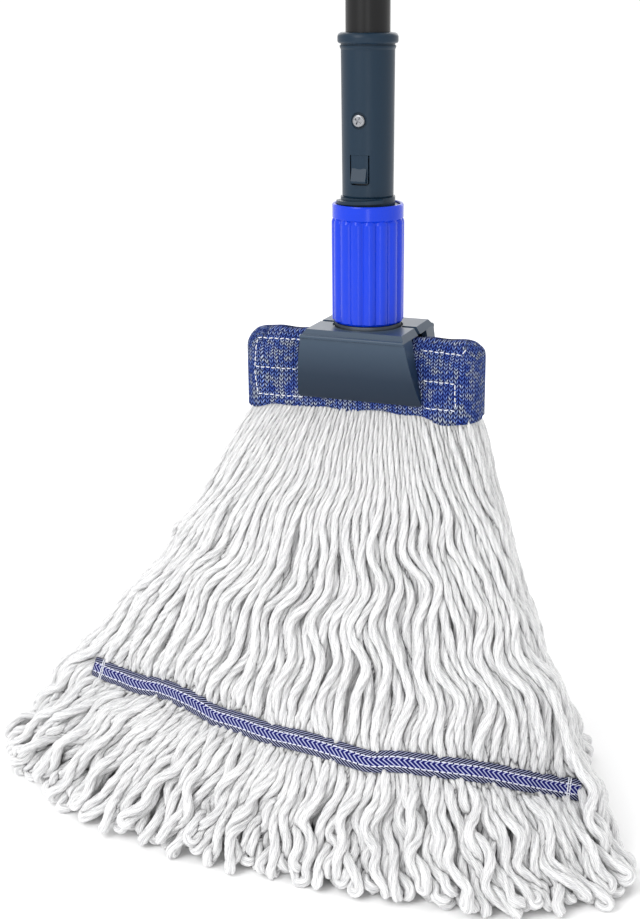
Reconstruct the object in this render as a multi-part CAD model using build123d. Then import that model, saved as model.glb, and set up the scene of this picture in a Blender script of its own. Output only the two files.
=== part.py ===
from build123d import *
import os

# A loop-end string mop with a twist-collar jaw clamp and a telescopic handle.
# Millimetres. The origin is on the floor under the handle, X runs along the headband, -Y is
# the front, where the snap tab and the handle screw are, and Z is up.

# ---------------------------------------------------------------- driving dimensions
# mop head
BAND_LENGTH, BAND_THICK, BAND_WALL = 141.0, 26.0, 2.5
BAND_BOTTOM, BAND_TOP = 240.0, 285.5
BAND_CORNER = 13.0
YARN_IN_BAND = 4.0  # how far the yarn stays inside the band's ends
# half length, half depth and corner radius of the yarn bundle at each height
YARN_SECTIONS = (
    (0.0, 216.0, 140.0, 110.0),
    (9.0, 216.0, 140.0, 110.0),
    (22.0, 203.0, 130.0, 100.0),
    (55.0, 172.0, 108.0, 78.0),
    (95.0, 143.0, 86.0, 58.0),
    (140.0, 117.0, 62.0, 40.0),
    (190.0, 93.0, 36.0, 24.0),
    (240.0, 70.5, 13.0, 9.0),
)
TAIL_BAND_HEIGHT, TAIL_BAND_THICK = 11.0, 1.8
TAIL_BAND_LOW = 50.0
TAIL_BAND_HALF = 150.0
# clamp
TUBE_R, TUBE_WALL = 12.5, 1.0
TUBE_BOTTOM, TUBE_TOP = 312.0, 880.0
SOCKET_R, SOCKET_BORE_R = 14.65, 12.55
SOCKET_BOTTOM, SOCKET_TOP = 366.0, 456.0
SPIGOT_R, SPIGOT_LENGTH = 13.8, 12.0
RIM_R, RIM_HEIGHT = 17.0, 6.0
SCREW_Z, SCREW_HEAD_R, SCREW_SHANK_R = 409.0, 3.5, 2.0
SCREW_HEAD_HEIGHT, SCREW_SEAT_DEPTH, SCREW_RECESS, SCREW_REACH = 2.2, 0.9, 1.2, 3.2
CROSS_LENGTH, CROSS_DEPTH, CROSS_WIDTH = 4.4, 2.4, 1.0
HOLE_FIT = 0.1
TAB_LOW, TAB_HIGH, TAB_WIDTH, TAB_GAP = 374.3, 390.0, 10.0, 0.8
LEAD = 6.0  # the collar's thread, so two turns lift it 12 mm and open the clamp
COLLAR_BOTTOM, COLLAR_TOP = 293.5, 362.0
COLLAR_R, COLLAR_BORE_R = 20.5, 18.5
RIB_COUNT, RIB_R, RIB_CREST_R, RIB_TOP = 16, 4.6, 20.9, 351.0
FLUTE_R, FLUTE_TOP = 19.5, 353.0
NECK_R, THREAD_ROOT_R, THREAD_CREST_R = 15.2, 15.6, 18.1
THREAD_BOTTOM = 330.0
RIDGE_BASE, RIDGE_TIP, RIDGE_FIT = 3.0, 2.0, 0.5
INNER_RIDGE_BASE, INNER_RIDGE_TIP = 2.2, 1.6
RIDGE_RUN_IN, RIDGE_RUN_OUT = 3.0, 1.4  # plain neck below and above the ridge
THREAD_TURN = 223.0  # direction of the neck thread's first turn, from +X
NECK_BOTTOM = 301.0
PIN_R, PIN_Y, PIN_Z, PIN_FIT = 1.75, 7.0, 297.0, 0.05
PIN_LENGTH = 23.6
KNUCKLE_R, KNUCKLE_HALF = 3.0, 8.7
CHEEK_IN, CHEEK_OUT = 9.0, 12.0
JAW_TOP, JAW_UNDER, JAW_BOTTOM = 291.3, 287.2, 248.0
JAW_LIP_Z, JAW_LIP_Y, JAW_SHOULDER_Y, JAW_FOOT_Y = 287.5, 28.0, 24.6, 15.4
JAW_HALF_TOP, JAW_HALF_BOTTOM = 31.5, 38.5
JAW_INNER_Y, JAW_GAP_Y, JAW_WALL = 13.5, 2.0, 2.6
JAW_BULGE, JAW_CORNER, JAW_SHOULDER_STEP, LIP_BEAD_R = 2.4, 1.8, 3.0, 1.2
CAVITY_LIP_Y, CAVITY_FOOT_Y, CAVITY_SLOPE = 25.0, 16.3, 3.2
STIFFENER_X, STIFFENER_THICK = (-15.0, 0.0, 15.0), 1.8
WEB_Y = 4.4
PAD_HEIGHT = 8.0
PAD_TOOTH_Z, PAD_TOOTH_DEPTH, PAD_TOOTH_WIDTH = (1.2, 3.4, 5.6), 1.1, 2.0
RING_R, RING_BORE_R, RING_LOW, RING_HIGH = 19.4, 16.2, 289.9, 293.2
RECESS_R, RECESS_Z = 20.6, 289.6
SPRING_Z, SPRING_END, SPRING_X = 290.6, 4.2, 5.0
SPRING_WIRE_R, SPRING_R, SPRING_PITCH = 0.4, 2.3, 1.8
OVERSIZE = 60.0  # how far a cutting body reaches past what it cuts
# telescopic handle
UPPER_R, UPPER_WALL = 11.0, 0.9
UPPER_BOTTOM, UPPER_TOP = 430.0, 1075.0
LOCK_LOW, LOCK_HIGH, LOCK_R = 856.0, 916.0, 17.5
GRIP_LOW, GRIP_HIGH, GRIP_R = 922.0, 1068.0, 15.0
CAP_TOP, CAP_EYE_Z, CAP_EYE_R, CAP_THICK = 1108.0, 1093.0, 7.0, 11.0


def lathe(*points):
    """A solid of revolution about Z from a closed outline of (radius, height) points."""
    return revolve(make_face(Polyline(*points, close=True), Plane.XZ), Axis.Z)


def make_face(outline, plane):
    """A face from an outline drawn in a plane's own two axes."""
    return plane * Face(Wire(outline.edges()))


def ring(outer, inner, low, high):
    """A straight sleeve about Z."""
    tall = high - low
    body = Pos(0, 0, low + tall / 2) * Cylinder(outer, tall)
    return body - Pos(0, 0, low + tall / 2) * Cylinder(inner, tall + 2)


def block(low, high):
    """A box between two corners."""
    size = [b - a for a, b in zip(low, high)]
    centre = [(a + b) / 2 for a, b in zip(low, high)]
    return Pos(*centre) * Box(*size)


def rod_along_x(radius, length, y, z):
    return Pos(0, y, z) * Rot(0, 90, 0) * Cylinder(radius, length)


def rod_along_y(radius, low, high, x, z):
    return Pos(x, (low + high) / 2, z) * Rot(90, 0, 0) * Cylinder(radius, high - low)


def extrude_yz(points, half):
    """A prism along X from an outline of (y, z) points."""
    face = make_face(Polyline(*points, close=True), Plane.YZ)
    return Pos(-half, 0, 0) * extrude(face, 2 * half, dir=(1, 0, 0))


def circles_of(body, radius):
    """The body's round edges of one radius."""
    rounds = body.edges().filter_by(GeomType.CIRCLE)
    return rounds.filter_by(lambda edge: abs(edge.radius - radius) < 0.01)


# ---------------------------------------------------------------- mop head
def yarn_bundle(grow=0.0):
    """The fanned yarn below the band, standing proud by grow all round."""
    sections = [
        Plane.XY.offset(z) * RectangleRounded(2 * (x + grow), 2 * (y + grow), r)
        for z, x, y, r in YARN_SECTIONS
    ]
    return loft(sections, ruled=True)


def band_block(inset, top, corner):
    """The band's outline with rounded upper corners, extruded through its thickness."""
    half = BAND_LENGTH / 2 - inset
    thick = BAND_THICK / 2 - BAND_WALL if inset else BAND_THICK / 2
    body = block((-half, -thick, BAND_BOTTOM), (half, thick, top))
    return fillet(body.edges().filter_by(Axis.Y).group_by(Axis.Z)[-1], corner)


def half_space(front):
    reach = 400.0
    low_y, high_y = (-reach, 0.0) if front else (0.0, reach)
    return block((-reach, low_y, -1.0), (reach, high_y, reach))


def yarn(front):
    core = band_block(YARN_IN_BAND, BAND_TOP - BAND_WALL, BAND_CORNER - BAND_WALL)
    return (yarn_bundle() + core) & half_space(front)


def headband():
    core = band_block(YARN_IN_BAND, BAND_TOP - BAND_WALL, BAND_CORNER - BAND_WALL)
    return band_block(0.0, BAND_TOP, BAND_CORNER) - core


def tail_band(front):
    """The webbing stitched across one side of the yarn near its ends."""
    side = -1 if front else 1
    near, far = side * 20.0, side * 300.0
    low = (-TAIL_BAND_HALF, min(near, far), TAIL_BAND_LOW)
    high = (TAIL_BAND_HALF, max(near, far), TAIL_BAND_LOW + TAIL_BAND_HEIGHT)
    return (yarn_bundle(TAIL_BAND_THICK) - yarn_bundle()) & block(low, high)


# ---------------------------------------------------------------- clamp
def helix_ridge(root, crest, base, tip, low, high, turn):
    """A right-handed helical ridge of trapezoid section; root and crest are its radii."""
    path = Pos(0, 0, low) * Rot(0, 0, turn) * Helix(LEAD, high - low, root)
    sunk = root - 0.4 if crest > root else root + 0.4
    outline = Polyline(
        (sunk, -base / 2), (crest, -tip / 2), (crest, tip / 2), (sunk, base / 2), close=True
    )
    section = Pos(0, 0, low) * Rot(0, 0, turn) * make_face(outline, Plane.XZ)
    return sweep(section, path=path, is_frenet=True)


def jaw_carrier():
    """The threaded neck that holds the socket, with two cheeks for the jaw pins."""
    body = lathe(
        (SOCKET_BORE_R, NECK_BOTTOM + 6),
        (NECK_R, NECK_BOTTOM + 6),
        (NECK_R, THREAD_BOTTOM - 2),
        (THREAD_ROOT_R, THREAD_BOTTOM),
        (THREAD_ROOT_R, SOCKET_BOTTOM),
        (SPIGOT_R + 0.05, SOCKET_BOTTOM),
        (SPIGOT_R + 0.05, SOCKET_BOTTOM - SPIGOT_LENGTH),
        (SOCKET_BORE_R, SOCKET_BOTTOM - SPIGOT_LENGTH),
    )
    floor = Pos(0, 0, NECK_BOTTOM + 4) * Cylinder(NECK_R, 8)
    body = body + (floor - Pos(0, 0, NECK_BOTTOM + 7) * Cylinder(SOCKET_BORE_R - 3, 4))
    body = body - Pos(0, 0, NECK_BOTTOM + 2) * Cylinder(6, 10)
    for side in (-1, 1):
        near, far = sorted((side * CHEEK_IN, side * CHEEK_OUT))
        reach = PIN_Y + KNUCKLE_R
        cheek = block((near, -reach, PIN_Z - KNUCKLE_R), (far, reach, NECK_BOTTOM + 1))
        body = body + fillet(cheek.edges().filter_by(Axis.X).group_by(Axis.Z)[0], KNUCKLE_R - 0.2)
    for side in (-1, 1):
        body = body - rod_along_x(PIN_R + PIN_FIT, 2 * CHEEK_OUT + 4, side * PIN_Y, PIN_Z)
    low, high = THREAD_BOTTOM + RIDGE_RUN_IN, SOCKET_BOTTOM - RIDGE_RUN_OUT
    ridge = (THREAD_ROOT_R, THREAD_CREST_R, RIDGE_BASE, RIDGE_TIP)
    return body + helix_ridge(*ridge, low, high, THREAD_TURN)


def socket():
    """The moulded handle socket with a rolled rim, a screw recess and the snap tab's slot."""
    groove = SOCKET_TOP - RIM_HEIGHT
    body = lathe(
        (SOCKET_BORE_R, SOCKET_BOTTOM - SPIGOT_LENGTH),
        (SPIGOT_R, SOCKET_BOTTOM - SPIGOT_LENGTH),
        (SPIGOT_R, SOCKET_BOTTOM),
        (SOCKET_R - 0.4, SOCKET_BOTTOM),
        (SOCKET_R, SOCKET_BOTTOM + 1),
        (SOCKET_R + 0.5, groove - 3.2),
        (SOCKET_R + 1.1, groove - 1.9),
        (SOCKET_R + 1.1, groove - 1.0),
        (SOCKET_R + 0.5, groove - 0.8),
        (SOCKET_R + 0.5, groove),
        (RIM_R, groove),
        (RIM_R, SOCKET_TOP),
        (SOCKET_BORE_R + 0.6, SOCKET_TOP),
        (SOCKET_BORE_R, SOCKET_TOP - 0.8),
    )
    rim = circles_of(body, RIM_R).sort_by(Axis.Z)
    body = fillet(rim[0], 1.6)
    body = fillet(circles_of(body, RIM_R).sort_by(Axis.Z)[-1], 2.6)
    half = TAB_WIDTH / 2 + TAB_GAP
    slot = block((-half, -OVERSIZE, TAB_LOW - TAB_GAP), (half, 0, TAB_HIGH + HOLE_FIT))
    slot = fillet(slot.edges().filter_by(Axis.Y).group_by(Axis.Z)[0], 2.0)
    seat = -SOCKET_R + SCREW_SEAT_DEPTH
    recess = rod_along_y(SCREW_HEAD_R + SCREW_RECESS, -OVERSIZE, seat, 0, SCREW_Z)
    boss_hole = rod_along_y(SCREW_SHANK_R + HOLE_FIT, -OVERSIZE, 0, 0, SCREW_Z)
    return body - slot - recess - boss_hole


def snap_tab():
    """The sprung tongue in the socket's wall; its ramp lifts a hook out of the tube."""
    half = TAB_WIDTH / 2
    wall = ring(SOCKET_R, SOCKET_BORE_R + 0.15, TAB_LOW, TAB_HIGH)
    body = wall & block((-half, -OVERSIZE, TAB_LOW), (half, 0, TAB_HIGH))
    outer = SOCKET_R
    ramp = extrude_yz(
        (
            (-outer + 1.8, TAB_LOW + 0.2),
            (-outer - 2.0, TAB_LOW + 0.6),
            (-outer - 2.2, TAB_LOW + 1.6),
            (-outer - 1.5, TAB_LOW + 4.0),
            (-outer + 0.2, TAB_LOW + 8.6),
            (-outer + 1.8, TAB_LOW + 8.6),
        ),
        half - 0.6,
    )
    hook = block((-2.2, -SOCKET_BORE_R - 0.6, TAB_LOW + 2), (2.2, -TUBE_R + 1.6, TAB_LOW + 7))
    return body + ramp + hook


def handle_screw():
    """A cross-head pan screw through the socket into the tube."""
    seat = -SOCKET_R + SCREW_SEAT_DEPTH
    top = seat - SCREW_HEAD_HEIGHT
    head = rod_along_y(SCREW_HEAD_R, top, seat, 0, SCREW_Z)
    head = fillet(head.edges().group_by(Axis.Y)[0], 1.0)
    shank = rod_along_y(SCREW_SHANK_R, seat, -TUBE_R + SCREW_REACH, 0, SCREW_Z)
    screw = head + shank
    for turn in (30, 120):
        slot = Rot(0, turn, 0) * Box(CROSS_LENGTH, CROSS_DEPTH, CROSS_WIDTH)
        screw = screw - Pos(0, top, SCREW_Z) * slot
    return screw


def lower_tube():
    """The fixed tube, holed for the screw and for the snap tab's hook."""
    body = ring(TUBE_R, TUBE_R - TUBE_WALL, TUBE_BOTTOM, TUBE_TOP)
    screw_hole = rod_along_y(SCREW_SHANK_R + HOLE_FIT, -OVERSIZE, 0, 0, SCREW_Z)
    hook_hole = block((-3, -OVERSIZE, TAB_LOW + 1), (3, 0, TAB_LOW + 8))
    return body - screw_hole - hook_hole


def jaw_pins():
    return [rod_along_x(PIN_R, PIN_LENGTH, side * PIN_Y, PIN_Z) for side in (-1, 1)]


def jaw_springs():
    """Two small compression springs between the jaws, just under the pins."""
    rise = 2 * (SPRING_END - SPRING_WIRE_R)
    coil = Helix(SPRING_PITCH, rise, SPRING_R)
    section = Plane(origin=(SPRING_R, 0, 0), z_dir=(0, 1, 0)) * Circle(SPRING_WIRE_R)
    spring = sweep(section, path=coil, is_frenet=True)
    spring = Rot(-90, 0, 0) * Pos(0, 0, -rise / 2) * spring
    return [Pos(side * SPRING_X, 0, SPRING_Z) * spring for side in (-1, 1)]


def jaw_blank():
    """The front jaw's outline from the side, as one closed block along X."""
    lip, foot = (-JAW_LIP_Y, JAW_LIP_Z), (-JAW_FOOT_Y, JAW_BOTTOM + 1.0)
    bulge = ThreePointArc(lip, (-(JAW_LIP_Y + JAW_FOOT_Y) / 2 - JAW_BULGE, (lip[1] + foot[1]) / 2), foot)
    rest = Polyline(
        foot,
        (-JAW_FOOT_Y + 0.8, JAW_BOTTOM),
        (-JAW_INNER_Y, JAW_BOTTOM),
        (-JAW_INNER_Y, JAW_UNDER),
        (-JAW_GAP_Y, JAW_UNDER),
        (-JAW_GAP_Y, JAW_TOP),
        (-JAW_SHOULDER_Y, JAW_TOP),
        lip,
    )
    face = make_face(Curve() + [bulge, rest], Plane.YZ)
    return Pos(-OVERSIZE, 0, 0) * extrude(face, 2 * OVERSIZE, dir=(1, 0, 0))


def jaw_front_view():
    """The jaw's outline from the front: wider at the foot, with rounded lower corners."""
    outline = Polyline(
        (-JAW_HALF_TOP + JAW_SHOULDER_STEP, JAW_TOP + 1),
        (-JAW_HALF_TOP, JAW_LIP_Z),
        (-JAW_HALF_BOTTOM, JAW_BOTTOM),
        (JAW_HALF_BOTTOM, JAW_BOTTOM),
        (JAW_HALF_TOP, JAW_LIP_Z),
        (JAW_HALF_TOP - JAW_SHOULDER_STEP, JAW_TOP + 1),
        close=True,
    )
    prism = extrude(make_face(outline, Plane.XZ), OVERSIZE, dir=(0, -1, 0))
    return fillet(prism.edges().filter_by(Axis.Y).group_by(Axis.Z)[0], JAW_CORNER)


def jaw(front):
    """One clamping jaw: a ribbed shell with a toothed pad, hung on its pin."""
    body = jaw_blank()
    cavity = extrude_yz(
        (
            (-JAW_INNER_Y + 1, JAW_BOTTOM + PAD_HEIGHT),
            (-CAVITY_FOOT_Y, JAW_BOTTOM + PAD_HEIGHT),
            (-CAVITY_LIP_Y, JAW_UNDER - CAVITY_SLOPE),
            (-CAVITY_LIP_Y, JAW_UNDER),
            (-JAW_INNER_Y + 1, JAW_UNDER),
        ),
        JAW_HALF_TOP - JAW_WALL,
    )
    half = STIFFENER_THICK / 2
    for x in STIFFENER_X:
        rib = block((x - half, -OVERSIZE, JAW_BOTTOM), (x + half, 0, JAW_TOP))
        cavity = cavity - rib
    body = body - cavity
    bead = rod_along_x(LIP_BEAD_R, 2 * OVERSIZE, -JAW_LIP_Y + 0.1, JAW_LIP_Z)
    body = (body + bead) & jaw_front_view()
    body = body - Pos(0, 0, RECESS_Z + 5) * Cylinder(RECESS_R, 10)
    window = block((-KNUCKLE_HALF, -WEB_Y, JAW_UNDER - 1), (KNUCKLE_HALF, 0, PIN_Z))
    body = body - window
    low = (-KNUCKLE_HALF, -PIN_Y - KNUCKLE_R, RECESS_Z - 1)
    body = body + block(low, (KNUCKLE_HALF, -WEB_Y, PIN_Z))
    body = body + rod_along_x(KNUCKLE_R, 2 * KNUCKLE_HALF, -PIN_Y, PIN_Z)
    body = body - rod_along_x(PIN_R + PIN_FIT, 2 * OVERSIZE, -PIN_Y, PIN_Z)
    for rise in PAD_TOOTH_Z:
        low, high = JAW_BOTTOM + rise, JAW_BOTTOM + rise + PAD_TOOTH_WIDTH
        open_y, deep_y = -JAW_INNER_Y + 1.5, -JAW_INNER_Y - PAD_TOOTH_DEPTH
        notch = ((open_y, low), (deep_y, (low + high) / 2), (open_y, high))
        body = body - extrude_yz(notch, OVERSIZE)
    return body if front else Rot(0, 0, 180) * body


def thrust_ring():
    """The slip washer that the collar pushes down on the jaws' shoulders."""
    return ring(RING_R, RING_BORE_R, RING_LOW, RING_HIGH)


def twist_collar():
    """The fluted collar: a plain rim above sixteen ribs, and a thread inside its top."""
    body = lathe(
        (COLLAR_BORE_R, COLLAR_BOTTOM),
        (FLUTE_R - 0.6, COLLAR_BOTTOM),
        (FLUTE_R, COLLAR_BOTTOM + 1.0),
        (FLUTE_R, FLUTE_TOP),
        (COLLAR_R, FLUTE_TOP + 1.2),
        (COLLAR_R, COLLAR_TOP - 0.8),
        (COLLAR_R - 0.6, COLLAR_TOP),
        (COLLAR_BORE_R + 0.3, COLLAR_TOP),
        (COLLAR_BORE_R, COLLAR_TOP - 0.5),
    )
    low = COLLAR_BOTTOM + 0.3
    centre = RIB_CREST_R - RIB_R
    cutter = Pos(0, 0, (COLLAR_BOTTOM + COLLAR_TOP) / 2) * Cylinder(COLLAR_BORE_R, 100)
    rib = Pos(0, 0, (low + RIB_TOP) / 2) * Cylinder(RIB_R, RIB_TOP - low)
    rib = Pos(centre, 0, 0) * chamfer(rib.edges().group_by(Axis.Z)[0], 1.0)
    rib = rib + Pos(centre, 0, RIB_TOP) * Sphere(RIB_R)
    rib = rib - cutter
    for number in range(RIB_COUNT):
        body = body + Rot(0, 0, 360.0 / RIB_COUNT * number) * rib
    # the inner ridge lies halfway between two turns of the neck's ridge
    low, high = COLLAR_TOP - 3 * LEAD, COLLAR_TOP - LEAD
    turn = THREAD_TURN + 180 + 360.0 * (low - THREAD_BOTTOM - RIDGE_RUN_IN) / LEAD
    ridge = (COLLAR_BORE_R, THREAD_ROOT_R + RIDGE_FIT, INNER_RIDGE_BASE, INNER_RIDGE_TIP)
    return body + helix_ridge(*ridge, low, high, turn)


# ---------------------------------------------------------------- telescopic handle
def upper_tube():
    return ring(UPPER_R, UPPER_R - UPPER_WALL, UPPER_BOTTOM, UPPER_TOP)


def guide_plug():
    """The plastic plug that centres the upper tube's lower end in the lower tube."""
    outer, bore = TUBE_R - TUBE_WALL - 0.08, UPPER_R - UPPER_WALL
    low = UPPER_BOTTOM - 12
    return lathe(
        (0, low),
        (outer - 1, low),
        (outer, low + 1.5),
        (outer, UPPER_BOTTOM),
        (bore, UPPER_BOTTOM),
        (bore, UPPER_BOTTOM + 16),
        (0, UPPER_BOTTOM + 16),
    )


def lock_bushing():
    """The bushing pressed in the lower tube's top; its split cone grips the upper tube."""
    bore = UPPER_R + 0.06
    inner = TUBE_R - TUBE_WALL
    body = lathe(
        (bore, TUBE_TOP - 14),
        (inner, TUBE_TOP - 14),
        (inner, TUBE_TOP),
        (TUBE_R, TUBE_TOP),
        (TUBE_R, TUBE_TOP + 8),
        (TUBE_R - 0.3, TUBE_TOP + 8),
        (TUBE_R - 0.9, TUBE_TOP + 28),
        (bore, TUBE_TOP + 28),
    )
    for turn in (0, 60, 120):
        slit = Rot(0, 0, turn) * block((-20, -0.6, TUBE_TOP + 10), (20, 0.6, TUBE_TOP + 30))
        body = body - slit
    return body


def lock_collar():
    """The twist-lock grip around the bushing, with grip ribs."""
    body = lathe(
        (TUBE_R + 0.1, LOCK_LOW),
        (LOCK_R - 2.4, LOCK_LOW),
        (LOCK_R - 1.2, LOCK_LOW + 4),
        (LOCK_R - 0.6, LOCK_LOW + 30),
        (LOCK_R - 1.2, LOCK_HIGH - 6),
        (LOCK_R - 3.2, LOCK_HIGH),
        (UPPER_R + 0.35, LOCK_HIGH),
        (UPPER_R + 0.35, LOCK_HIGH - 6),
        (TUBE_R + 0.1, LOCK_HIGH - 6),
    )
    rib = Pos(LOCK_R - 1.3, 0, LOCK_LOW + 29) * Cylinder(1.3, 42)
    for number in range(12):
        body = body + Rot(0, 0, 30.0 * number) * rib
    return body


def grip_sleeve():
    """The soft grip: a closed sleeve with shallow rings."""
    body = ring(GRIP_R, UPPER_R, GRIP_LOW, GRIP_HIGH)
    body = fillet(circles_of(body, GRIP_R), 1.6)
    for number in range(9):
        z = GRIP_LOW + 17 + 14 * number
        groove = Pos(0, 0, z) * Torus(GRIP_R + 0.5, 1.4)
        body = body - groove
    return body


def hanging_cap():
    """The end cap: a plug in the tube, a shoulder and a flat eye to hang the mop by."""
    body = lathe(
        (0, UPPER_TOP - 18),
        (UPPER_R - UPPER_WALL, UPPER_TOP - 18),
        (UPPER_R - UPPER_WALL, UPPER_TOP),
        (UPPER_R + 2.6, UPPER_TOP),
        (UPPER_R + 2.6, UPPER_TOP + 4),
        (UPPER_R - 1, UPPER_TOP + 8),
        (0, UPPER_TOP + 8),
    )
    half = CAP_THICK / 2
    eye_r = CAP_TOP - CAP_EYE_Z
    eye = rod_along_y(eye_r - 3.5, -half, half, 0, CAP_EYE_Z + 3.5)
    tang = block((-UPPER_R + 1, -half, UPPER_TOP + 4), (UPPER_R - 1, half, CAP_EYE_Z + 3.5))
    body = body + eye + tang
    return body - rod_along_y(CAP_EYE_R, -20, 20, 0, CAP_EYE_Z + 3.5)


PARTS = {
    "yarn_front": lambda: yarn(True),
    "yarn_rear": lambda: yarn(False),
    "headband": headband,
    "tail_band_front": lambda: tail_band(True),
    "tail_band_rear": lambda: tail_band(False),
    "jaw_carrier": jaw_carrier,
    "socket": socket,
    "snap_tab": snap_tab,
    "handle_screw": handle_screw,
    "lower_tube": lower_tube,
    "jaw_pins": jaw_pins,
    "jaw_springs": jaw_springs,
    "front_jaw": lambda: jaw(True),
    "rear_jaw": lambda: jaw(False),
    "thrust_ring": thrust_ring,
    "twist_collar": twist_collar,
    "upper_tube": upper_tube,
    "guide_plug": guide_plug,
    "lock_bushing": lock_bushing,
    "lock_collar": lock_collar,
    "grip_sleeve": grip_sleeve,
    "hanging_cap": hanging_cap,
}

os.makedirs("parts", exist_ok=True)
for name, make in PARTS.items():
    shape = make()
    if isinstance(shape, list):
        shape = Compound(children=shape)
    export_step(shape, f"parts/{name}.step")
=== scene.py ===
import math

import bpy
import numpy as np
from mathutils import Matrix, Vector


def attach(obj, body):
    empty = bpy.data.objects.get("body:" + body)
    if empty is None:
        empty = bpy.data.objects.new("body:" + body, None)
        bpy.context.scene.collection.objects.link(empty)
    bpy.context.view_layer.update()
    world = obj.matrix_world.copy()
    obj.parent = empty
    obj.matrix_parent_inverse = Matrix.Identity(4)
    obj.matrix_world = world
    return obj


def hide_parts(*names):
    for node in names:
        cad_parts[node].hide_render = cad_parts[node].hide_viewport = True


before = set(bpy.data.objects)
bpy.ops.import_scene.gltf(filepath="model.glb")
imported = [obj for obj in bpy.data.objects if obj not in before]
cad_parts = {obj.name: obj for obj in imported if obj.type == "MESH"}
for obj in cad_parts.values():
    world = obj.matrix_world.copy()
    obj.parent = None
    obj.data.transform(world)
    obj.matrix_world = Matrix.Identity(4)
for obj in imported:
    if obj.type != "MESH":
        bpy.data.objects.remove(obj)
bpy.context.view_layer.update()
RNG = np.random.default_rng(7)


# ---------------------------------------------------------------- camera
CAMERA_PLACE = (0.29516, -0.81095, 0.480)
CAMERA_DOWN = 17.5   # degrees below level
CAMERA_ROUND = 20    # degrees to the object's right


def make_camera():
    data = bpy.data.cameras.new("camera")
    data.sensor_width = 36.0
    data.lens = 58.76
    data.shift_x = -0.0522
    data.clip_start = 0.05
    camera = bpy.data.objects.new("camera", data)
    camera.location = CAMERA_PLACE
    camera.rotation_euler = (math.radians(90 - CAMERA_DOWN), 0, math.radians(CAMERA_ROUND))
    bpy.context.scene.collection.objects.link(camera)
    bpy.context.scene.camera = camera


# ---------------------------------------------------------------- material helpers
class Nodes:
    """A material's node tree, built by short calls."""

    def __init__(self, name):
        self.material = bpy.data.materials.new(name)
        self.material.use_nodes = True
        self.tree = self.material.node_tree
        self.shader = self.tree.nodes["Principled BSDF"]

    def add(self, kind, inputs=None, **settings):
        node = self.tree.nodes.new(kind)
        for key, value in settings.items():
            setattr(node, key, value)
        for key, value in (inputs or {}).items():
            self.put(node, key, value)
        return node

    def put(self, node, key, value):
        if isinstance(value, bpy.types.NodeSocket):
            self.tree.links.new(value, node.inputs[key])
        else:
            node.inputs[key].default_value = value

    def math(self, operation, a, b=0.5, clamp=False):
        node = self.add("ShaderNodeMath", {0: a, 1: b}, operation=operation, use_clamp=clamp)
        return node.outputs[0]

    def times(self, a, b, clamp=False):
        return self.math("MULTIPLY", a, b, clamp)

    def plus(self, a, b):
        return self.math("ADD", a, b)

    def minus(self, a, b, clamp=False):
        return self.math("SUBTRACT", a, b, clamp)

    def off_centre(self, value):
        """How far a value is from 0.5."""
        return self.math("ABSOLUTE", self.minus(value, 0.5))

    def ridge(self, value, sharpness):
        """1 where a value is 0.5, falling to 0 on both sides of it."""
        return self.minus(1.0, self.times(self.off_centre(value), sharpness), clamp=True)

    def mix(self, factor, a, b):
        node = self.add("ShaderNodeMix", data_type="RGBA", blend_type="MIX")
        for index, value in ((0, factor), (6, a), (7, b)):
            self.put(node, index, value)
        return node.outputs[2]

    def ramp(self, factor, stops):
        node = self.add("ShaderNodeValToRGB", {0: factor})
        elements = node.color_ramp.elements
        while len(elements) < len(stops):
            elements.new(0.5)
        for element, (place, colour) in zip(elements, stops):
            element.position = place
            element.color = colour if len(colour) == 4 else (*colour, 1)
        return node.outputs[0]

    def position(self):
        return self.add("ShaderNodeNewGeometry").outputs["Position"]

    def noise(self, vector, scale, detail=2.0, roughness=0.5):
        inputs = {"Vector": vector, "Scale": scale, "Detail": detail, "Roughness": roughness}
        return self.add("ShaderNodeTexNoise", inputs).outputs[0]

    def attribute(self, name):
        return self.add("ShaderNodeAttribute", attribute_name=name).outputs["Fac"]

    def attribute_parts(self, name):
        vector = self.add("ShaderNodeAttribute", attribute_name=name).outputs["Vector"]
        return self.add("ShaderNodeSeparateXYZ", {0: vector}).outputs

    def bump(self, height, strength, distance):
        node = self.add("ShaderNodeBump", {"Height": height, "Strength": strength, "Distance": distance})
        self.put(self.shader, "Normal", node.outputs[0])

    def set(self, **inputs):
        for key, value in inputs.items():
            self.put(self.shader, key.replace("_", " "), value)
        return self


def finish_piece(name, mesh, material):
    """Puts a mesh in the scene as one piece of the mop head."""
    mesh.materials.append(material)
    thing = bpy.data.objects.new(name, mesh)
    bpy.context.scene.collection.objects.link(thing)
    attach(thing, "mop_head")
    return thing


# ---------------------------------------------------------------- yarn: where each strand runs
BAND_BOTTOM = 0.243
YARN_TOP_R = 0.0016
YARN_LOW_R = 0.0026
YARN_SWELL = 1.14    # strands are drawn thicker than the solver keeps apart, which closes their gaps
COLUMNS = 54
ROWS = 5
LEG_POINTS = 58
TIP_POINTS = 4
HALF_BAND = 0.0665
# The outlines on the floor that the yarn spreads to, each from its left end to its right end.
FRONT_RIM = [(-0.230, -0.008), (-0.229, -0.050), (-0.214, -0.084), (-0.176, -0.105), (-0.130, -0.122),
             (-0.102, -0.131), (-0.051, -0.138), (0.010, -0.139), (0.070, -0.139), (0.098, -0.138),
             (0.125, -0.132), (0.152, -0.120), (0.180, -0.102), (0.188, -0.082), (0.170, -0.048),
             (0.140, -0.006)]
REAR_RIM = [(-0.230, 0.008), (-0.222, 0.050), (-0.198, 0.084), (-0.150, 0.110), (-0.090, 0.126),
            (-0.020, 0.132), (0.030, 0.128), (0.080, 0.112), (0.112, 0.088), (0.128, 0.058),
            (0.134, 0.030), (0.134, 0.006)]


def unit(vectors):
    """Vectors along the last axis, each made one long."""
    return vectors / np.linalg.norm(vectors, axis=-1, keepdims=True)


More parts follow.
